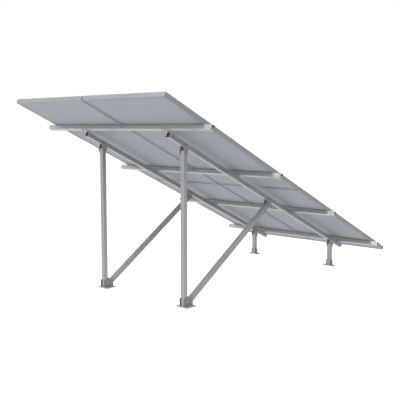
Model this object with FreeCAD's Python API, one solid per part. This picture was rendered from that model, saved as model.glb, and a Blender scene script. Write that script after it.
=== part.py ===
import FreeCAD, Part
import math
import os

# Solar panel mounting rack: two sloped frames on posts, four purlins across them and four modules on top.
# Millimetres. +Z is up, -Y is the low front side that the glass faces, and X runs along the purlins.
# The origin is on the ground under the middle of the rack. Left is -X and right is +X, as seen from the front.

# Modules
module_width = 1002.0
module_length = 2008.0
module_thickness = 40.0
module_gap = 20.0
frame_wall = 2.0
frame_lip = 10.0
frame_flange = 28.0
glass_thickness = 4.0
glass_clearance = 0.3
back_sheet_thickness = 2.0
back_sheet_lap = 5.0

# Slope, and height of the rafters' underside over the front posts
tilt_angle = 24.7
front_rafter_height = 295.7

# Purlins, lipped channels with the web on the upper side
purlin_size = 45.0
purlin_wall = 2.5
purlin_lip = 12.0
purlin_bend_radius = 4.0
purlin_overhang = 93.0
first_purlin_inset = 520.0
last_purlin_inset = 330.0
purlin_count = 4

# Sloped frames
frame_spacing = 1120.0
tube_size = 44.0
tube_wall = 3.0
tube_corner_radius = 4.0
rafter_setback = 32.0
rafter_tail = 94.0
rear_post_offset = 226.0
front_post_offset = 252.0
post_head_gap = 26.0
brace_foot_reach = 66.0
brace_foot_height = 48.0
brace_head_offset = 1398.0
brace_head_drop = 41.0
brace_end_margin = 22.0

# Head plates, one on each side of the rafter
plate_thickness = 5.0
head_plate_width = 66.0
head_plate_bottom_width = 40.0
head_plate_waist = 14.0
head_plate_shoulder = 29.0
head_plate_drop = 75.0
head_bolt_drop = 46.0
head_plate_rise = 34.0
brace_plate_shoulder = 10.0
brace_plate_width = 60.0
brace_plate_foot = 22.0
plate_corner_radius = 6.0

# Base shoes
base_plate_thickness = 8.0
base_plate_width = 139.0
rear_base_length = 130.0
front_base_length = 54.0
rear_cheek_length = 120.0
front_cheek_length = 50.0
rear_cheek_top = 86.0
front_cheek_top = 74.0
shoe_rear_margin = 37.0
cheek_chamfer = 16.0
base_weld = 4.0
lower_shoe_bolt = 32.0
upper_shoe_bolt = 62.0
anchor_hole_radius = 7.0
anchor_spacing_across = 110.0
anchor_spacing_along = 90.0

# Cleats that hold the purlins to the rafters
cleat_wall = 4.0
cleat_leg_across = 45.0
cleat_leg_down = 38.0
cleat_length = 50.0
cleat_bolt_reach = 24.0
top_cleat_grip = 70.0
top_cleat_bolt_inset = 20.0

# Clips and clamps at the seam between the columns of modules
clip_wall = 4.0
clip_width = 46.0
clip_leg = 38.0
clamp_wall = 3.0
clamp_lap = 9.0
clamp_depth = 14.0
clamp_side_clearance = 1.5
clamp_length = 40.0

# Bolts: shank radius, width across flats, head height, nut height, flange radius
frame_bolt = {"radius": 5.0, "flats": 15.0, "head": 6.0, "nut": 8.0, "flange": 10.5}
small_bolt = {"radius": 4.0, "flats": 12.0, "head": 5.0, "nut": 6.0, "flange": 8.5}
flange_height = 1.5
bolt_end = 3.0
bolt_hole_clearance = 0.5
thread_clearance = 0.05

vector = FreeCAD.Vector
across = vector(1, 0, 0)
sides = {"left": -1, "right": 1}

cos_tilt = math.cos(math.radians(tilt_angle))
sin_tilt = math.sin(math.radians(tilt_angle))
array_width = 2 * module_width + module_gap
array_length = 2 * module_length + module_gap
array_depth = array_length * cos_tilt + module_thickness * sin_tilt

# Distances down the slope from the modules' upper edge
last_purlin = array_length - last_purlin_inset
purlin_spacing = (last_purlin - first_purlin_inset) / (purlin_count - 1)
purlin_centres = [first_purlin_inset + purlin_spacing * row for row in range(purlin_count)]
purlin_length = array_width + 2 * purlin_overhang
rafter_start = first_purlin_inset + purlin_size / 2 + rafter_setback
rafter_end = last_purlin + purlin_size / 2 + rafter_tail
rear_down = rafter_start + rear_post_offset
front_down = rafter_end - front_post_offset
brace_head_down = rear_down + brace_head_offset

# Heights above the modules' underside, square to the slope, and the place of that underside's upper edge
rafter_underside = -purlin_size - tube_size
rafter_middle = -purlin_size - tube_size / 2
upper_edge_height = front_rafter_height + front_down * sin_tilt - rafter_underside * cos_tilt
upper_edge = vector(0, array_depth / 2, upper_edge_height)
on_slope = FreeCAD.Placement(upper_edge, FreeCAD.Rotation(across, tilt_angle))
half_tube = tube_size / 2
frame_centres = {name: side * frame_spacing / 2 for name, side in sides.items()}
cleat_side = sides["left"]


def slope_point(x, down, rise):
    """Place of a point given by its distance down the slope and its height above the modules' underside."""
    return on_slope.multVec(vector(x, -down, rise))


def export(name, shapes):
    """Writes one node; several shapes become a group of separate solids."""
    shape = shapes[0] if len(shapes) == 1 else Part.makeCompound(shapes)
    shape.exportStep("parts/" + name + ".step")


def box(x_range, y_range, z_range):
    """A block between two limits on each axis."""
    corner = vector(min(x_range), min(y_range), min(z_range))
    spans = [max(limits) - min(limits) for limits in (x_range, y_range, z_range)]
    return Part.makeBox(spans[0], spans[1], spans[2], corner)


def rounded_face(corners, radii):
    """A flat face on the given corners, each rounded by its radius; a radius of 0 keeps the corner sharp."""
    edges = []
    ends = []
    for index, corner in enumerate(corners):
        to_last = (corners[index - 1] - corner).normalize()
        to_next = (corners[(index + 1) % len(corners)] - corner).normalize()
        half_angle = to_last.getAngle(to_next) / 2
        radius = radii[index]
        cut = radius / math.tan(half_angle)
        start = corner + to_last * cut
        end = corner + to_next * cut
        if radius > 0:
            bisector = (to_last + to_next).normalize()
            middle = corner + bisector * (radius / math.sin(half_angle) - radius)
            edges.append(Part.Arc(start, middle, end).toShape())
        ends.append((start, end))
    for index, (start, end) in enumerate(ends):
        edges.append(Part.LineSegment(ends[index - 1][1], start).toShape())
    return Part.Face(Part.Wire(Part.__sortEdges__(edges)))


def tube(start, end, side_way):
    """A square hollow section from start to end, with its sides along X and side_way."""
    outline = []
    for inset in (0, tube_wall):
        reach = half_tube - inset
        signs = [(-1, -1), (1, -1), (1, 1), (-1, 1)]
        corners = [start + across * (a * reach) + side_way * (b * reach) for a, b in signs]
        outline.append(rounded_face(corners, [tube_corner_radius - inset] * len(corners)))
    return outline[0].cut(outline[1]).extrude(end - start)


def plate(corners, radii, inner_x, side):
    """A plate on upright corners whose inner face is at inner_x; it stands on the given side of it."""
    moved = [vector(inner_x, corner.y, corner.z) for corner in corners]
    return rounded_face(moved, radii).extrude(across * (side * plate_thickness))


def hole(centre, direction, bolt, length):
    """The clearance hole of a bolt, centred on a point."""
    radius = bolt["radius"] + bolt_hole_clearance
    return Part.makeCylinder(radius, length, centre - direction * (length / 2), direction)


def hexagon(centre, direction, flats, height):
    """A hexagonal prism that stands on a point."""
    turn = FreeCAD.Rotation(vector(0, 0, 1), direction)
    radius = flats / math.sqrt(3)
    corners = []
    for step in range(7):
        angle = math.radians(60 * step)
        corners.append(centre + turn.multVec(vector(radius * math.cos(angle), radius * math.sin(angle), 0)))
    return Part.Face(Part.makePolygon(corners)).extrude(direction * height)


def bolt_and_nut(start, direction, grip, bolt):
    """A flange bolt whose head bears on start, and its flange nut at the far end of the grip."""
    shank_length = grip + flange_height + bolt["nut"] + bolt_end
    flange = Part.makeCylinder(bolt["flange"], flange_height, start, direction * -1)
    head = hexagon(start - direction * flange_height, direction * -1, bolt["flats"], bolt["head"])
    shank = Part.makeCylinder(bolt["radius"], shank_length, start, direction)
    far = start + direction * grip
    nut = hexagon(far + direction * flange_height, direction, bolt["flats"], bolt["nut"])
    nut = nut.fuse(Part.makeCylinder(bolt["flange"], flange_height, far, direction))
    bore = Part.makeCylinder(bolt["radius"] + thread_clearance, shank_length, far, direction)
    return shank.fuse([flange, head]).removeSplitter(), nut.cut(bore).removeSplitter()


# Modules
def module_frame(x_range, down_range):
    """The extruded frame: outer wall, lip over the glass, ledge under it and flange at the bottom."""
    lip_height = module_thickness - frame_wall
    glass_seat = lip_height - glass_clearance - glass_thickness

    def opening(inset, low, high):
        return box(
            (x_range[0] + inset, x_range[1] - inset),
            (-down_range[0] - inset, -down_range[1] + inset),
            (low, high),
        )

    frame = opening(0, 0, module_thickness)
    frame = frame.cut(opening(frame_lip, glass_seat - frame_wall, module_thickness))
    frame = frame.cut(opening(frame_wall, glass_seat, lip_height))
    frame = frame.cut(opening(frame_wall, frame_wall, glass_seat - frame_wall))
    frame = frame.cut(opening(frame_flange, 0, frame_wall))
    glass = opening(frame_wall + glass_clearance, glass_seat, glass_seat + glass_thickness)
    sheet_inset = frame_flange - back_sheet_lap
    back_sheet = opening(sheet_inset, frame_wall, frame_wall + back_sheet_thickness)
    return frame, glass, back_sheet


def make_modules(module_holes):
    """Four modules in two columns and two rows."""
    for row, row_name in enumerate(("upper", "lower")):
        top = row * (module_length + module_gap)
        for side_name, side in sides.items():
            near = side * module_gap / 2
            far = side * array_width / 2
            frame, glass, back_sheet = module_frame(
                (min(near, far), max(near, far)), (top, top + module_length)
            )
            frame = frame.cut(module_holes)
            name = row_name + "_" + side_name
            pieces = {"module_frame_": frame, "module_glass_": glass, "module_back_sheet_": back_sheet}
            for prefix, piece in pieces.items():
                export(prefix + name, [piece.transformed(on_slope.toMatrix())])


# Purlins with the bolts that hold the modules' outer edges
def purlin_section(centre):
    """Outline of a lipped channel, with its web on the upper side."""
    web = centre - purlin_size / 2
    wall = purlin_wall
    size = purlin_size
    lip = purlin_lip
    outline = [
        (0, 0), (size, 0), (size, -lip), (size - wall, -lip), (size - wall, -wall), (wall, -wall),
        (wall, wall - size), (size - wall, wall - size), (size - wall, lip - size), (size, lip - size),
        (size, -size), (0, -size),
    ]
    bend = purlin_bend_radius
    inner = bend - wall
    radii = [bend, bend, 0, 0, inner, inner, inner, inner, 0, 0, bend, bend]
    corners = [vector(-purlin_length / 2, -(web + down), rise) for down, rise in outline]
    return rounded_face(corners, radii)


small_bolts = []
small_nuts = []
up = vector(0, 0, 1)
down_slope = vector(0, -1, 0)


def add_small_bolt(start, direction, grip, bolts, nuts):
    """Adds a small bolt and its nut, placed in the slope's own frame, to two groups."""
    bolt, nut = bolt_and_nut(start, direction, grip, small_bolt)
    bolts.append(bolt.transformed(on_slope.toMatrix()))
    nuts.append(nut.transformed(on_slope.toMatrix()))


def cleat_bolt_offsets(number):
    """How far along a purlin its cleat bolts are from the rafter; the top purlin has a second one."""
    beside = cleat_side * (half_tube + cleat_bolt_reach)
    return [beside, 0] if number == 1 else [beside]


def make_purlins():
    """Four purlins, drilled for their cleats, their seam clip and the modules; returns the modules' holes."""
    module_bolts = []
    module_nuts = []
    module_holes = []
    bolt_inset = (frame_wall + frame_flange - back_sheet_lap) / 2
    through = 2 * (purlin_wall + frame_wall)
    for number, centre in enumerate(purlin_centres, start=1):
        purlin = purlin_section(centre).extrude(across * purlin_length)
        cuts = []
        for side in sides.values():
            edge = vector(side * (array_width / 2 - bolt_inset), -centre, 0)
            cuts.append(hole(edge, up, small_bolt, through))
            module_holes.append(cuts[-1])
            add_small_bolt(edge - up * purlin_wall, up, purlin_wall + frame_wall, module_bolts, module_nuts)
        for centre_x in frame_centres.values():
            for offset in cleat_bolt_offsets(number):
                place = vector(centre_x + offset, -centre, -purlin_size)
                cuts.append(hole(place, up, small_bolt, 2 * purlin_wall))
        web_point = vector(0, -centre + purlin_size / 2, -purlin_size / 2)
        cuts.append(hole(web_point, down_slope, small_bolt, 2 * purlin_wall))
        purlin = purlin.cut(cuts)
        export("purlin_" + str(number), [purlin.transformed(on_slope.toMatrix())])
    export("module_bolts", module_bolts)
    export("module_nuts", module_nuts)
    return module_holes


# Clips and clamps at the seam between the columns
def make_seam_clamps():
    """An angle clip behind each purlin, a clamp on top of the seam and the bolt between them."""
    clips = []
    clamps = []
    bolts = []
    nuts = []
    half_clip = clip_width / 2
    half_clamp = module_gap / 2 + clamp_lap
    half_legs = module_gap / 2 - clamp_side_clearance
    half_slot = half_legs - clamp_wall
    for centre in purlin_centres:
        web = -centre + purlin_size / 2
        bolt_line = web + (clip_wall + clip_leg) / 2
        upright = box((-half_clip, half_clip), (web, web + clip_wall), (-clip_leg, 0))
        shelf = box((-half_clip, half_clip), (web, web + clip_leg), (-clip_wall, 0))
        web_hole = hole(vector(0, web, -purlin_size / 2), down_slope, small_bolt, 4 * clip_wall)
        seam_hole = hole(vector(0, bolt_line, 0), up, small_bolt, 4 * clip_wall)
        clip = upright.fuse(shelf).cut([web_hole, seam_hole]).removeSplitter()
        clips.append(clip.transformed(on_slope.toMatrix()))

        wing_top = module_thickness + clamp_wall
        ends = (bolt_line - clamp_length / 2, bolt_line + clamp_length / 2)
        clamp = box((-half_legs, half_legs), ends, (wing_top - clamp_depth, wing_top))
        clamp = clamp.cut(box((-half_slot, half_slot), ends, (wing_top - clamp_depth, module_thickness)))
        clamp = clamp.fuse(box((-half_clamp, half_clamp), ends, (module_thickness, wing_top)))
        clamp = clamp.cut(hole(vector(0, bolt_line, wing_top), up, small_bolt, 4 * clamp_wall))
        clamps.append(clamp.removeSplitter().transformed(on_slope.toMatrix()))

        add_small_bolt(
            vector(0, web + clip_wall, -purlin_size / 2), down_slope, clip_wall + purlin_wall, bolts, nuts
        )
        seam_grip = clip_wall + wing_top
        add_small_bolt(vector(0, bolt_line, -clip_wall), up, seam_grip, bolts, nuts)
    export("seam_clips", clips)
    export("seam_clamps", clamps)
    export("seam_bolts", bolts)
    export("seam_nuts", nuts)


# Sloped frames
frame_bolts = []
frame_nuts = []
through_x = tube_size + 2 * plate_thickness


def add_frame_bolt(centre, grip):
    """A frame bolt along X, centred on a point, with its head to the left and its nut to the right."""
    bolt, nut = bolt_and_nut(centre - across * (grip / 2), across, grip, frame_bolt)
    frame_bolts.append(bolt)
    frame_nuts.append(nut)


def post_foot(down):
    """Ground point under the place where a post's axis meets the rafter's underside."""
    point = slope_point(0, down, rafter_underside)
    return vector(0, point.y, 0), point.z


rear_foot, rear_contact_height = post_foot(rear_down)
front_foot, front_contact_height = post_foot(front_down)
forward = vector(0, -1, 0)

brace_head = slope_point(0, brace_head_down, rafter_underside - brace_head_drop)
brace_foot = rear_foot + forward * brace_foot_reach + up * brace_foot_height
brace_way = (brace_head - brace_foot).normalize()
brace_side = across.cross(brace_way)


def make_post(name, centre_x, foot, contact_height, head_bolt, shoe_bolts):
    """An upright post from its base plate to just under the rafter."""
    start = vector(centre_x, foot.y, base_plate_thickness)
    end = vector(centre_x, foot.y, contact_height - post_head_gap)
    post = tube(start, end, vector(0, 1, 0))
    places = shoe_bolts + [head_bolt]
    post = post.cut([hole(place, across, frame_bolt, through_x) for place in places])
    export(name, [post])


def make_head_plates(name, centre_x, foot, contact_height):
    """Two plates that straddle the rafter and the post's head; returns the bolt places on post and rafter.

    Above the post's head their rear edges draw in to the line of the post's rear face.
    """
    half_width = head_plate_width / 2
    half_bottom = head_plate_bottom_width / 2
    top = contact_height + head_plate_rise / cos_tilt
    slope = math.tan(math.radians(tilt_angle))
    outline = [
        (-half_bottom, contact_height - head_plate_drop),
        (half_bottom, contact_height - head_plate_drop),
        (half_width, contact_height - head_plate_shoulder),
        (half_tube, contact_height - head_plate_waist),
        (half_tube, top + half_tube * slope),
        (-half_width, top - half_width * slope),
        (-half_width, contact_height - head_plate_shoulder),
    ]
    corners = [vector(0, foot.y + back, height) for back, height in outline]
    post_bolt = vector(centre_x, foot.y, contact_height - head_bolt_drop)
    rafter_bolt = vector(centre_x, foot.y, contact_height + tube_size / 2 / cos_tilt)
    for side_name, side in (("left_side", -1), ("right_side", 1)):
        piece = plate(corners, [plate_corner_radius] * len(corners), centre_x + side * half_tube, side)
        piece = piece.cut([hole(place, across, frame_bolt, through_x) for place in (post_bolt, rafter_bolt)])
        export(name + "_" + side_name, [piece])
    for place in (post_bolt, rafter_bolt):
        add_frame_bolt(place, through_x)
    return post_bolt, rafter_bolt


def make_brace_plates(name, centre_x):
    """Two plates that hang the brace's upper end from the rafter; returns the bolt place on the rafter."""
    half_width = brace_plate_width / 2
    foot = brace_head - brace_way * brace_plate_foot
    low = rafter_underside - brace_plate_shoulder
    high = rafter_underside + head_plate_rise
    corners = [
        foot - brace_side * half_tube,
        slope_point(0, brace_head_down - half_width, low),
        slope_point(0, brace_head_down - half_width, high),
        slope_point(0, brace_head_down + half_width, high),
        slope_point(0, brace_head_down + half_width, low),
        foot + brace_side * half_tube,
    ]
    rafter_bolt = slope_point(centre_x, brace_head_down, rafter_middle)
    brace_bolt = vector(centre_x, brace_head.y, brace_head.z)
    for side_name, side in (("left_side", -1), ("right_side", 1)):
        piece = plate(corners, [plate_corner_radius] * len(corners), centre_x + side * half_tube, side)
        piece = piece.cut([hole(place, across, frame_bolt, through_x) for place in (rafter_bolt, brace_bolt)])
        export(name + "_" + side_name, [piece])
    for place in (rafter_bolt, brace_bolt):
        add_frame_bolt(place, through_x)
    return rafter_bolt, brace_bolt


def make_shoe(name, centre_x, foot, base_length, cheek_length, cheek_top, bolt_places):
    """A base plate with two welded cheeks that hold the post, and at the rear the brace's foot too."""
    rear_limit = foot.y + min(shoe_rear_margin, base_length / 2)
    base_range = (rear_limit - base_length, rear_limit)
    base = box(
        (centre_x - base_plate_width / 2, centre_x + base_plate_width / 2),
        base_range,
        (0, base_plate_thickness),
    )
    cheek_rear = rear_limit - (base_length - cheek_length) / 2
    cheek_front = cheek_rear - cheek_length
    corners = [
        vector(0, cheek_front, base_plate_thickness),
        vector(0, cheek_rear, base_plate_thickness),
        vector(0, cheek_rear, cheek_top),
        vector(0, cheek_front + cheek_chamfer, cheek_top),
        vector(0, cheek_front, cheek_top - cheek_chamfer),
    ]
    pieces = []
    for side in (-1, 1):
        inner = centre_x + side * half_tube
        pieces.append(plate(corners, [0] * len(corners), inner, side))
        outer = inner + side * plate_thickness
        bead = [
            vector(outer, cheek_front, base_plate_thickness),
            vector(outer + side * base_weld, cheek_front, base_plate_thickness),
            vector(outer, cheek_front, base_plate_thickness + base_weld),
        ]
        face = Part.Face(Part.makePolygon(bead + bead[:1]))
        pieces.append(face.extrude(vector(0, cheek_length, 0)))
    shoe = base.fuse(pieces).removeSplitter()
    cuts = [hole(place, across, frame_bolt, through_x) for place in bolt_places]
    middle = (base_range[0] + base_range[1]) / 2
    along = [-anchor_spacing_along / 2, anchor_spacing_along / 2] if base_length > anchor_spacing_along else [0]
    for offset in along:
        for side in (-1, 1):
            place = vector(centre_x + side * anchor_spacing_across / 2, middle + offset, 0)
            cuts.append(Part.makeCylinder(anchor_hole_radius, base_plate_thickness, place))
    export(name, [shoe.cut(cuts)])
    for place in bolt_places:
        add_frame_bolt(place, through_x)


def make_cleat(centre_x, number, purlin_centre):
    """An angle that holds one purlin on one rafter; returns it with the rafter's bolt places down the slope.

    The top purlin lies clear of the rafter's end, so its angle has a plate that runs on under the purlin.
    """
    wall = centre_x + cleat_side * half_tube
    shelf_edge = wall + cleat_side * cleat_leg_across
    shelf_rise = (-purlin_size - cleat_wall, -purlin_size)
    if number == 1:
        limits = (-rafter_start, -rafter_start - top_cleat_grip)
        bolt_downs = [rafter_start + top_cleat_bolt_inset, rafter_start + top_cleat_grip - top_cleat_bolt_inset]
        plate_range = (purlin_size / 2 - purlin_centre, -rafter_start)
        plates = [box((centre_x - cleat_side * half_tube, shelf_edge), plate_range, shelf_rise)]
    else:
        limits = (cleat_length / 2 - purlin_centre, -cleat_length / 2 - purlin_centre)
        bolt_downs = [purlin_centre]
        plates = []
    upright = box((wall, wall + cleat_side * cleat_wall), limits, (-purlin_size - cleat_leg_down, -purlin_size))
    plates.append(box((wall, shelf_edge), limits, shelf_rise))
    holes = [hole(vector(wall, -down, rafter_middle), across, frame_bolt, 4 * cleat_wall) for down in bolt_downs]
    for offset in cleat_bolt_offsets(number):
        holes.append(hole(vector(centre_x + offset, -purlin_centre, -purlin_size), up, small_bolt, 4 * cleat_wall))
    return upright.fuse(plates).removeSplitter().cut(holes), bolt_downs


def make_cleats():
    """Cleats on the same side of both rafters under each purlin; returns each rafter's bolt places."""
    cleat_bolts = []
    cleat_nuts = []
    rafter_places = {centre_x: [] for centre_x in frame_centres.values()}
    for number, purlin_centre in enumerate(purlin_centres, start=1):
        group = []
        for centre_x in frame_centres.values():
            cleat, bolt_downs = make_cleat(centre_x, number, purlin_centre)
            group.append(cleat.transformed(on_slope.toMatrix()))
            for offset in cleat_bolt_offsets(number):
                start = vector(centre_x + offset, -purlin_centre, -purlin_size - cleat_wall)
                add_small_bolt(start, up, cleat_wall + purlin_wall, cleat_bolts, cleat_nuts)
            for down in bolt_downs:
                place = slope_point(centre_x + cleat_side * cleat_wall / 2, down, rafter_middle)
                rafter_places[centre_x].append(place)
                add_frame_bolt(place, tube_size + cleat_wall)
        export("purlin_" + str(number) + "_cleats", group)
    export("cleat_bolts", cleat_bolts)
    export("cleat_nuts", cleat_nuts)
    return rafter_places


def make_frame(side_name, centre_x, cleat_places):
    """One sloped frame: rafter, posts, brace, head plates and base shoes."""
    rear_bolts = make_head_plates("rear_head_plate_" + side_name, centre_x, rear_foot, rear_contact_height)
    front_bolts = make_head_plates("front_head_plate_" + side_name, centre_x, front_foot, front_contact_height)
    brace_bolts = make_brace_plates("brace_head_plate_" + side_name, centre_x)

    rafter = tube(
        slope_point(centre_x, rafter_start, rafter_middle),
        slope_point(centre_x, rafter_end, rafter_middle),
        on_slope.Rotation.multVec(up),
    )
    places = cleat_places + [rear_bolts[1], front_bolts[1], brace_bolts[0]]
    rafter = rafter.cut([hole(place, across, frame_bolt, through_x) for place in places])
    export("rafter_" + side_name, [rafter])

    shoe_heights = (lower_shoe_bolt, upper_shoe_bolt)
    rear_shoe_bolts = [vector(centre_x, rear_foot.y, height) for height in shoe_heights]
    front_shoe_bolts = [vector(centre_x, front_foot.y, height) for height in shoe_heights]
    make_post("rear_post_" + side_name, centre_x, rear_foot, rear_contact_height, rear_bolts[0], rear_shoe_bolts)
    make_post(
        "front_post_" + side_name, centre_x, front_foot, front_contact_height, front_bolts[0], front_shoe_bolts
    )

    foot_bolt = vector(centre_x, brace_foot.y, brace_foot.z)
    brace = tube(
        foot_bolt - brace_way * brace_end_margin,
        vector(centre_x, brace_head.y, brace_head.z) + brace_way * brace_end_margin,
        brace_side,
    )
    brace = brace.cut([hole(place, across, frame_bolt, through_x) for place in (foot_bolt, brace_bolts[1])])
    export("brace_" + side_name, [brace])

    make_shoe(
        "rear_base_shoe_" + side_name, centre_x, rear_foot, rear_base_length, rear_cheek_length, rear_cheek_top,
        rear_shoe_bolts + [foot_bolt],
    )
    make_shoe(
        "front_base_shoe_" + side_name, centre_x, front_foot, front_base_length, front_cheek_length,
        front_cheek_top, front_shoe_bolts,
    )


os.makedirs("parts", exist_ok=True)
make_modules(make_purlins())
make_seam_clamps()
rafter_places = make_cleats()
for frame_name, frame_x in frame_centres.items():
    make_frame(frame_name, frame_x, rafter_places[frame_x])
export("frame_bolts", frame_bolts)
export("frame_nuts", frame_nuts)
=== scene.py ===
import math

import bpy
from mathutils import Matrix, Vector


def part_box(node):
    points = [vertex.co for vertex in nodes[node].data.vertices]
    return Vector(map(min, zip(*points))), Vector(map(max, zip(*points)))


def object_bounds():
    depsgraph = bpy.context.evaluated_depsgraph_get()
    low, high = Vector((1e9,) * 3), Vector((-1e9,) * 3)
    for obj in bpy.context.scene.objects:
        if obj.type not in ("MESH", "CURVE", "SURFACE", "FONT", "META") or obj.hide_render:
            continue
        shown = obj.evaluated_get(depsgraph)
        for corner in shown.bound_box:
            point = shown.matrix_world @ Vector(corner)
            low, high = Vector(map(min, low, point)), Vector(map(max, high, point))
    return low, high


# Solar panel mounting rack, dressed for the studio. Metres. +Z is up and -Y is the low front side.

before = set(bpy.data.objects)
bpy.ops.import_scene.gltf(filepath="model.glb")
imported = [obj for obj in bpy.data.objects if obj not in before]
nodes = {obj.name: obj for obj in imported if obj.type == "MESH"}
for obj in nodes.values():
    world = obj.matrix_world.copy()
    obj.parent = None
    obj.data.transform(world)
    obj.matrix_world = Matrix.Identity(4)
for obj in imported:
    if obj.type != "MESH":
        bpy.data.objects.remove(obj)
cad_low, cad_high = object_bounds()

# The modules' slope and layout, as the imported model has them
TILT = math.radians(24.7)
MODULE_WIDTH = 1.002
MODULE_LENGTH = 2.008
MODULE_THICKNESS = 0.040
MODULE_GAP = 0.020

# How far the painted light on the frame sides that face the seams reaches past the gap, and how wide a
# frame's corner joints show
SEAM_PAINTED_LIGHT_RIM = 0.0005
MITRE_WIDTH = 0.0008

# The cells under the glass
CELL_PITCH = 0.15875
CELL_SIZE = 0.15675
CELLS_ACROSS = 6
CELLS_DOWN = 12

# Each cell's busbars: how many, and how wide as a share of their spacing
BUSBARS = 5
BUSBAR_SHARE = 0.06

# A cell's cut corner starts where a point's two distances from the cell's middle add up to this, in pitches
CELL_CORNER = 0.93

# Colours in linear light, and the levels of the greys
FOIL_DARK = (0.210, 0.222, 0.254, 1)
FOIL_LIGHT = (0.253, 0.265, 0.297, 1)
FOIL_PRINT = (0.232, 0.247, 0.288, 1)
CELL_DARK = (0.006, 0.010, 0.026, 1)
CELL_LIGHT = (0.014, 0.022, 0.050, 1)
CELL_GAP_COLOUR = (0.52, 0.54, 0.56, 1)
BUSBAR_COLOUR = (0.42, 0.43, 0.45, 1)
DUST_COLOUR = (0.20, 0.18, 0.155, 1)
# Painted light on the frame sides that face the seams, then the dark of the corner joints
SEAM_PAINTED_LIGHT_LEVEL = 0.62
MITRE_LEVEL = 0.05
# Painted light on the base plates
PLATE_PAINTED_LIGHT_LEVEL = 0.60
# Painted shade on the rafters' low end
LOW_END_PAINTED_SHADE_LEVEL = 0.17

# How strongly each of these marks shows over the colour below it; the one at the seams is painted light
FOIL_PRINT_SHARE = 0.05
BUSBAR_TINT_SHARE = 0.75
SEAM_PAINTED_LIGHT_SHARE = 0.25
HANDLING_SHARE = 0.25

# Heights above the floor between which the base plates' painted light, the painted shade at a low end and
# the dust fade out
PLATE_PAINTED_LIGHT_FADE = (0.009, 0.014)
LOW_END_PAINTED_SHADE_FADE = (0.25, 0.31)
DUST_FADE = (0.02, 0.16)

# The camera, at the photograph's viewing angle
CAMERA_PLACE = Vector((-4.651, 5.458, 1.6245))
CAMERA_YAW = math.radians(42.13)
CAMERA_PITCH = math.radians(6.15)
CAMERA_SENSOR = 36.0
CAMERA_LENS = 59.8

# The floor, which glows and reflects little, so that no shadow shows on it
FLOOR_HALF_SIZE = 60.0
FLOOR_COLOUR = (0.10, 0.10, 0.10, 1)
FLOOR_ROUGHNESS = 0.9
FLOOR_GLOW = 1.06

# The sky's levels, each at the sine of a height above the horizon, and its brighter sides within the band
SKY_BASE = ((0.0, 0.90), (0.09, 0.90), (0.11, 0.0), (0.48, 0.0), (0.52, 0.40))
SKY_BAND = ((0.09, 0.0), (0.11, 1.0), (0.48, 1.0), (0.52, 0.0))
SKY_SIDES = {("Y", 1): 2.02, ("X", 1): 0.87, ("Y", -1): 0.60}
SKY_SIDE_GAIN = 1.15

# The softboxes, which all face one point from the same distance
SOFTBOX_SIZE = 1.3
SOFTBOX_DISTANCE = 9.0
SOFTBOX_TARGET = Vector((0, 0.5, 0.8))

# Each softbox's degrees from the rear towards the photograph's left, degrees above the floor and watts
SOFTBOXES = {
    "rear_high": (0, 60, 745),
    "right_high": (-42, 42, 315),
    "right_low": (-50, 28, 125),
    "right_top": (-90, 50, 55),
    "left_high": (90, 42, 103),
}


class Nodes:
    """Helpers that add nodes to one node tree."""

    def __init__(self, tree):
        self.tree = tree

    def node(self, kind, **settings):
        """Adds a node with the given settings."""
        made = self.tree.nodes.new(kind)
        for name, value in settings.items():
            setattr(made, name, value)
        return made

    def feed(self, socket, value):
        """Links a socket, or sets a plain value on it."""
        if isinstance(value, bpy.types.NodeSocket):
            self.tree.links.new(value, socket)
        else:
            socket.default_value = value

    def math(self, operation, first, second=0.0, third=0.0, clamp=False):
        """One step of arithmetic."""
        made = self.node("ShaderNodeMath", operation=operation, use_clamp=clamp)
        for socket, value in zip(made.inputs, (first, second, third)):
            self.feed(socket, value)
        return made.outputs[0]

    def split(self, vector):
        """The three parts of a vector."""
        made = self.node("ShaderNodeSeparateXYZ")
        self.feed(made.inputs[0], vector)
        return made.outputs

    def levels(self, value, marks):
        """A level that changes evenly between the given marks."""
        made = self.node("ShaderNodeValToRGB")
        self.feed(made.inputs["Fac"], value)
        elements = made.color_ramp.elements
        while len(elements) < len(marks):
            elements.new(1.0)
        for element, (place, level) in zip(elements, marks):
            element.position = place
            element.color = (level, level, level, 1)
        return made.outputs["Color"]


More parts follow.
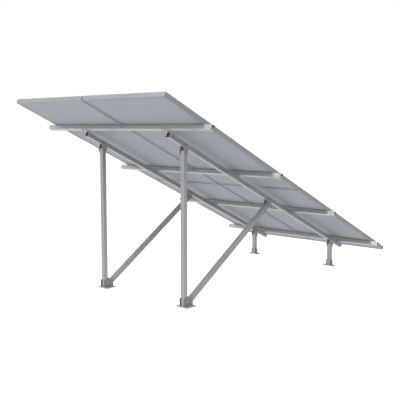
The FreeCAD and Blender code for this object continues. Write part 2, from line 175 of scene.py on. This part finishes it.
class Shader(Nodes):
    """A node material that is built up around one Principled surface."""

    def __init__(self, name):
        self.material = bpy.data.materials.new(name)
        self.material.use_nodes = True
        super().__init__(self.material.node_tree)
        self.surface = next(node for node in self.tree.nodes if node.type == "BSDF_PRINCIPLED")
        self.place = self.node("ShaderNodeTexCoord").outputs["Object"]

    def stretched(self, scale, turn=(0, 0, 0)):
        """The object's own coordinates, turned and scaled."""
        made = self.node("ShaderNodeMapping")
        self.feed(made.inputs["Vector"], self.place)
        made.inputs["Rotation"].default_value = turn
        made.inputs["Scale"].default_value = scale
        return made.outputs[0]

    def noise(self, scale, detail=4.0, where=None):
        """Cloudy noise from 0 to 1."""
        made = self.node("ShaderNodeTexNoise")
        self.feed(made.inputs["Vector"], where or self.place)
        made.inputs["Scale"].default_value = scale
        made.inputs["Detail"].default_value = detail
        return made.outputs["Fac"]

    def crystals(self, scale):
        """One random level for each crystal of a zinc coat."""
        made = self.node("ShaderNodeTexVoronoi", feature="F1")
        self.feed(made.inputs["Vector"], self.place)
        made.inputs["Scale"].default_value = scale
        split = self.node("ShaderNodeSeparateColor")
        self.feed(split.inputs[0], made.outputs["Color"])
        return split.outputs[0]

    def span(self, value, low, high, from_low=0.0, from_high=1.0):
        """Maps a range of levels to another, clamped."""
        made = self.node("ShaderNodeMapRange", clamp=True)
        self.feed(made.inputs["Value"], value)
        ends = {"From Min": from_low, "From Max": from_high, "To Min": low, "To Max": high}
        for name, level in ends.items():
            self.feed(made.inputs[name], level)
        return made.outputs["Result"]

    def blend(self, share, first, second):
        """Mixes two colours."""
        made = self.node("ShaderNodeMix", data_type="RGBA")
        self.feed(made.inputs["Factor"], share)
        self.feed(made.inputs[6], first)
        self.feed(made.inputs[7], second)
        return made.outputs[2]

    def bump(self, height, strength, distance):
        """Turns a height into a bump on the surface."""
        made = self.node("ShaderNodeBump")
        self.feed(made.inputs["Height"], height)
        made.inputs["Strength"].default_value = strength
        made.inputs["Distance"].default_value = distance
        self.feed(self.surface.inputs["Normal"], made.outputs["Normal"])

    def finish(self, colour, roughness, metallic):
        """Sets the surface's main values and returns the material."""
        self.feed(self.surface.inputs["Base Color"], colour)
        self.feed(self.surface.inputs["Roughness"], roughness)
        self.surface.inputs["Metallic"].default_value = metallic
        return self.material


def grey(level, warm=0.0):
    """A grey with a small push towards warm, or towards cool where it is negative."""
    return (level * (1 + warm), level, level * (1 - warm), 1)


def module_offsets(shader):
    """How far across and down all the modules together each point is, from their upper corner."""
    turned = shader.split(shader.stretched((1, 1, 1), turn=(-TILT, 0, 0)))
    upper_frames = [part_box(name)[1].z for name in nodes if name.startswith("module_frame_upper")]
    underside = min(upper_frames) - MODULE_THICKNESS * math.cos(TILT)
    upper_line = math.cos(TILT) * cad_high.y + math.sin(TILT) * underside
    across = shader.math("ADD", turned["X"], MODULE_WIDTH + MODULE_GAP / 2)
    down = shader.math("SUBTRACT", upper_line, turned["Y"])
    return across, down


def module_place(shader):
    """How far across and down its own module each point is, from the module's upper corner."""
    across, down = module_offsets(shader)
    return (
        shader.math("MODULO", across, MODULE_WIDTH + MODULE_GAP),
        shader.math("MODULO", down, MODULE_LENGTH + MODULE_GAP),
    )


def seam_faces_painted_light(shader):
    """Where the painted light goes: the sides of the module frames that face the seams, as a level from 0 to
    1.
    """
    near = []
    for along, size in zip(module_offsets(shader), (MODULE_WIDTH, MODULE_LENGTH)):
        apart = shader.math("ABSOLUTE", shader.math("SUBTRACT", along, size + MODULE_GAP / 2))
        near.append(shader.math("LESS_THAN", apart, MODULE_GAP / 2 + SEAM_PAINTED_LIGHT_RIM))
    return shader.math("MAXIMUM", *near)


def mitre_lines(shader):
    """The fine joint lines where a module frame's bars meet at 45 degrees, as a level from 0 to 1."""
    edges = []
    for along, size in zip(module_place(shader), (MODULE_WIDTH, MODULE_LENGTH)):
        edges.append(shader.math("MINIMUM", along, shader.math("SUBTRACT", size, along)))
    apart = shader.math("ABSOLUTE", shader.math("SUBTRACT", edges[0], edges[1]))
    return shader.math("LESS_THAN", apart, MITRE_WIDTH / 2)


def cell_layout(shader):
    """Where the cells are on every module, and where their busbars are, as levels from 0 to 1."""
    inside = 1.0
    counts = []
    offsets = []
    sizes = (MODULE_WIDTH, MODULE_LENGTH)
    for along, size, cells in zip(module_place(shader), sizes, (CELLS_ACROSS, CELLS_DOWN)):
        margin = (size - cells * CELL_PITCH) / 2
        count = shader.math("DIVIDE", shader.math("SUBTRACT", along, margin), CELL_PITCH)
        offset = shader.math("ABSOLUTE", shader.math("SUBTRACT", shader.math("FRACT", count), 0.5))
        in_cell = shader.math("LESS_THAN", offset, 0.5 * CELL_SIZE / CELL_PITCH)
        inside = shader.math("MULTIPLY", in_cell, inside)
        inside = shader.math("MULTIPLY", shader.math("GREATER_THAN", count, 0.0), inside)
        inside = shader.math("MULTIPLY", shader.math("LESS_THAN", count, float(cells)), inside)
        counts.append(count)
        offsets.append(offset)
    corner = shader.math("LESS_THAN", shader.math("ADD", offsets[0], offsets[1]), CELL_CORNER)
    inside = shader.math("MULTIPLY", corner, inside)
    bar = shader.math("FRACT", shader.math("MULTIPLY", counts[0], float(BUSBARS)))
    bar = shader.math("ABSOLUTE", shader.math("SUBTRACT", bar, 0.5))
    bar = shader.math("LESS_THAN", bar, BUSBAR_SHARE / 2)
    return inside, bar


def galvanised(
    name, dark, light, metallic=0.85, spangle=38.0, smoothest=0.36, cool=0.03, painted_plate_light=0.0, low_end_painted_shade=0.0, dust=0.0
):
    """Hot-dip zinc: crystals, cloudy white bloom and fine grain. The last three values are shares of
    painted light on base plates, of painted shade on a low end and of dust near the floor."""
    shader = Shader(name)
    crystal = shader.crystals(spangle)
    bloom = shader.span(shader.noise(5.0, 6.0), 0.0, 1.0, 0.35, 0.68)
    streak = shader.noise(7.0, 5.0, shader.stretched((3.0, 3.0, 0.35)))
    level = shader.math("MULTIPLY_ADD", crystal, 0.35, shader.math("MULTIPLY", bloom, 0.35))
    level = shader.math("MULTIPLY_ADD", streak, 0.30, level)
    colour = shader.blend(level, grey(dark, -cool), grey(light, 0.01 - cool))
    roughness = shader.math("MULTIPLY_ADD", crystal, 0.08, shader.span(bloom, smoothest, smoothest + 0.12))
    height = shader.split(shader.place)["Z"]
    # Painted light: the top of the base plate is made lighter, in place of the light that falls on it
    if painted_plate_light:
        share = shader.span(height, painted_plate_light, 0.0, *PLATE_PAINTED_LIGHT_FADE)
        colour = shader.blend(share, colour, grey(PLATE_PAINTED_LIGHT_LEVEL))
    # Painted shade: the low end is made darker, in place of the weaker light on the rafters' tails
    if low_end_painted_shade:
        ragged = shader.math("MULTIPLY_ADD", streak, 0.02, height)
        share = shader.span(ragged, low_end_painted_shade, 0.0, *LOW_END_PAINTED_SHADE_FADE)
        colour = shader.blend(share, colour, grey(LOW_END_PAINTED_SHADE_LEVEL, -0.03))
    if dust:
        ragged = shader.math("MULTIPLY_ADD", shader.noise(30.0, 5.0), 0.05, height)
        share = shader.span(ragged, dust, 0.0, *DUST_FADE)
        colour = shader.blend(share, colour, DUST_COLOUR)
    grain = shader.math("MULTIPLY_ADD", shader.noise(420.0, 3.0), 0.4, crystal)
    shader.bump(grain, 0.06, 0.0006)
    return shader.finish(colour, roughness, metallic)


def rolled_sheet(name, dark, light):
    """Pre-galvanised strip: small crystals and faint lines along the rolling direction."""
    shader = Shader(name)
    crystal = shader.crystals(70.0)
    lines = shader.noise(1.0, 6.0, shader.stretched((1.5, 260.0, 260.0)))
    bloom = shader.noise(3.0, 6.0)
    level = shader.math("MULTIPLY_ADD", lines, 0.45, shader.math("MULTIPLY", crystal, 0.25))
    level = shader.math("MULTIPLY_ADD", bloom, 0.40, level)
    colour = shader.blend(level, grey(dark, -0.035), grey(light, -0.025))
    roughness = shader.math("MULTIPLY_ADD", lines, 0.10, shader.span(bloom, 0.30, 0.42, 0.3, 0.7))
    shader.bump(shader.math("MULTIPLY_ADD", crystal, 0.3, lines), 0.10, 0.0005)
    return shader.finish(colour, roughness, 0.88)


def anodised(name, dark, light, smoothest, metallic=0.82, warm=-0.01, mitres_and_seam_light=False):
    """Satin anodised aluminium: even colour with fine grain, faint drawing lines and handling marks. On
    module frames also painted light on the sides that face the seams, and dark corner joints.
    """
    shader = Shader(name)
    lines = shader.noise(1.0, 4.0, shader.stretched((420.0, 9.0, 420.0), turn=(-TILT, 0, 0)))
    cloud = shader.noise(2.2, 6.0)
    marks = shader.span(shader.noise(55.0, 8.0), 0.0, 1.0, 0.60, 0.74)
    level = shader.math("MULTIPLY_ADD", lines, 0.40, shader.math("MULTIPLY", cloud, 0.60))
    colour = shader.blend(level, grey(dark, warm), grey(light, warm))
    share = shader.math("MULTIPLY", marks, HANDLING_SHARE)
    colour = shader.blend(share, colour, grey(dark * 0.75, warm))
    if mitres_and_seam_light:
        # Painted light: the frame sides that face the seams are made lighter, in place of light that reaches
        # into the gaps
        share = shader.math("MULTIPLY", seam_faces_painted_light(shader), SEAM_PAINTED_LIGHT_SHARE)
        colour = shader.blend(share, colour, grey(SEAM_PAINTED_LIGHT_LEVEL, -0.06))
        colour = shader.blend(mitre_lines(shader), colour, grey(MITRE_LEVEL))
    roughness = shader.span(cloud, smoothest, smoothest + 0.14, 0.3, 0.7)
    shader.bump(shader.math("ADD", lines, shader.noise(600.0, 2.0)), 0.07, 0.0004)
    return shader.finish(colour, roughness, metallic)


def zinc_bolt():
    """Zinc plated fasteners, dulled in clouds."""
    shader = Shader("zinc_plated_fasteners")
    cloud = shader.noise(90.0, 5.0)
    colour = shader.blend(cloud, grey(0.22, 0.01), grey(0.38, 0.01))
    shader.bump(shader.noise(500.0, 3.0), 0.15, 0.0004)
    return shader.finish(colour, shader.span(cloud, 0.34, 0.55), 0.85)


def back_sheet():
    """The modules' rear foil: matt, slightly wavy, with a faint print of the cells under it."""
    shader = Shader("module_back_foil")
    inside, _ = cell_layout(shader)
    cloud = shader.noise(1.6, 6.0)
    fine = shader.noise(140.0, 4.0)
    level = shader.math("MULTIPLY_ADD", fine, 0.25, shader.math("MULTIPLY", cloud, 0.75))
    colour = shader.blend(level, FOIL_DARK, FOIL_LIGHT)
    colour = shader.blend(shader.math("MULTIPLY", inside, FOIL_PRINT_SHARE), colour, FOIL_PRINT)
    height = shader.math("MULTIPLY_ADD", inside, 0.4, shader.math("MULTIPLY_ADD", fine, 0.3, cloud))
    shader.bump(height, 0.06, 0.0008)
    return shader.finish(colour, shader.span(cloud, 0.48, 0.62, 0.3, 0.7), 0.0)


def cell_glass():
    """Satin glass over dark cells with silver busbars and pale gaps between the cells."""
    shader = Shader("module_cell_glass")
    inside, bar = cell_layout(shader)
    cloud = shader.noise(2.0, 5.0)
    fine = shader.noise(900.0, 2.0)
    cell = shader.blend(cloud, CELL_DARK, CELL_LIGHT)
    cell = shader.blend(shader.math("MULTIPLY", bar, BUSBAR_TINT_SHARE), cell, BUSBAR_COLOUR)
    colour = shader.blend(inside, CELL_GAP_COLOUR, cell)
    shader.bump(fine, 0.05, 0.0003)
    settings = {"Specular IOR Level": 0.22, "Coat Weight": 0.08, "Coat Roughness": 0.30, "IOR": 1.50}
    for name, value in settings.items():
        shader.surface.inputs[name].default_value = value
    return shader.finish(colour, shader.span(cloud, 0.32, 0.42, 0.3, 0.7), 0.0)


def dress():
    """Gives every CAD node its material."""
    # The rafters get painted shade at their low end
    rafter = galvanised("galvanised_rafter", 0.30, 0.385, metallic=0.80, smoothest=0.28, low_end_painted_shade=0.50)
    brace = galvanised("galvanised_brace", 0.23, 0.30, metallic=0.25, smoothest=0.58)
    post = galvanised("galvanised_post", 0.27, 0.34, dust=0.10)
    head = galvanised("galvanised_head_plates", 0.25, 0.37, spangle=55.0)
    cleat = galvanised("galvanised_cleats", 0.32, 0.47, spangle=55.0)
    # The shoes' base plates get painted light
    shoe = galvanised("galvanised_shoes", 0.163, 0.235, metallic=0.70, spangle=55.0, cool=0.07, painted_plate_light=0.5)
    purlin = rolled_sheet("galvanised_purlin", 0.335, 0.465)
    # The module frames get painted light on their sides at the seams
    edge = anodised("anodised_module_frame", 0.205, 0.253, 0.36, metallic=0.50, warm=-0.07, mitres_and_seam_light=True)
    clamp = anodised("anodised_clamps", 0.55, 0.70, 0.26)
    materials = {
        "rear_post": post,
        "front_post": post,
        "rafter": rafter,
        "brace_left": brace,
        "brace_right": brace,
        "rear_base": shoe,
        "front_base": shoe,
        "rear_head": head,
        "front_head": head,
        "brace_head": head,
        "module_frame": edge,
        "module_glass": cell_glass(),
        "module_back": back_sheet(),
        "seam_clips": purlin,
        "seam_clamps": clamp,
    }
    bolts = zinc_bolt()
    for name, thing in nodes.items():
        if name.endswith(("_bolts", "_nuts")):
            material = bolts
        elif name.startswith("purlin"):
            material = cleat if name.endswith("cleats") else purlin
        else:
            material = next(chosen for start, chosen in materials.items() if name.startswith(start))
        for slot in thing.material_slots:
            slot.material = material


def make_floor():
    """A plain pale floor that glows, as a lit studio sweep does."""
    size = FLOOR_HALF_SIZE
    corners = [(-size, -size, 0), (size, -size, 0), (size, size, 0), (-size, size, 0)]
    mesh = bpy.data.meshes.new("floor")
    mesh.from_pydata(corners, [], [range(len(corners))])
    floor = bpy.data.objects.new("floor", mesh)
    bpy.context.scene.collection.objects.link(floor)
    shader = Shader("pale_floor")
    shader.surface.inputs["Emission Color"].default_value = (1, 1, 1, 1)
    shader.surface.inputs["Emission Strength"].default_value = FLOOR_GLOW
    mesh.materials.append(shader.finish(FLOOR_COLOUR, FLOOR_ROUGHNESS, 0.0))


def make_world():
    """A soft white sky, brightest on the rear side. The camera sees plain white in its place."""
    world = bpy.data.worlds.new("studio")
    world.use_nodes = True
    world.node_tree.nodes.clear()
    sky = Nodes(world.node_tree)
    way = sky.split(sky.node("ShaderNodeTexCoord").outputs["Generated"])
    band = sky.levels(way["Z"], SKY_BAND)
    strength = sky.levels(way["Z"], SKY_BASE)
    for (axis, sign), power in SKY_SIDES.items():
        side = sky.math("MULTIPLY", way[axis], sign * SKY_SIDE_GAIN, clamp=True)
        side = sky.math("MULTIPLY", sky.math("MULTIPLY", side, side), band)
        strength = sky.math("MULTIPLY_ADD", side, power, strength)
    light = sky.node("ShaderNodeBackground")
    backdrop = sky.node("ShaderNodeBackground")
    sky.feed(light.inputs["Strength"], strength)
    for background in (light, backdrop):
        background.inputs["Color"].default_value = (1, 1, 1, 1)
    mix = sky.node("ShaderNodeMixShader")
    sky.feed(mix.inputs["Fac"], sky.node("ShaderNodeLightPath").outputs["Is Camera Ray"])
    sky.feed(mix.inputs[1], light.outputs[0])
    sky.feed(mix.inputs[2], backdrop.outputs[0])
    sky.feed(sky.node("ShaderNodeOutputWorld").inputs["Surface"], mix.outputs[0])
    bpy.context.scene.world = world


def make_softbox(name, turn, rise, power):
    """A square light that hangs around the rack and that the camera doesn't see."""
    light = bpy.data.lights.new(name, "AREA")
    light.size = SOFTBOX_SIZE
    light.energy = power
    turn = math.radians(turn)
    rise = math.radians(rise)
    way = Vector((math.cos(rise) * math.sin(turn), math.cos(rise) * math.cos(turn), math.sin(rise)))
    box = bpy.data.objects.new(name, light)
    box.location = SOFTBOX_TARGET + SOFTBOX_DISTANCE * way
    box.rotation_euler = way.to_track_quat("Z", "Y").to_euler()
    box.visible_camera = False
    bpy.context.scene.collection.objects.link(box)


def make_camera():
    """The camera at the photograph's place and angle."""
    data = bpy.data.cameras.new("camera")
    data.sensor_width = CAMERA_SENSOR
    data.lens = CAMERA_LENS
    data.clip_end = 4 * FLOOR_HALF_SIZE
    camera = bpy.data.objects.new("camera", data)
    level = math.cos(CAMERA_PITCH)
    way = Vector((math.sin(CAMERA_YAW) * level, -math.cos(CAMERA_YAW) * level, -math.sin(CAMERA_PITCH)))
    camera.location = CAMERA_PLACE
    camera.rotation_euler = way.to_track_quat("-Z", "Y").to_euler()
    bpy.context.scene.collection.objects.link(camera)
    bpy.context.scene.camera = camera


bpy.context.scene.view_settings.view_transform = "Standard"
dress()
make_floor()
make_world()
for softbox, (softbox_turn, softbox_rise, softbox_power) in SOFTBOXES.items():
    make_softbox("softbox_" + softbox, softbox_turn, softbox_rise, softbox_power)
make_camera()
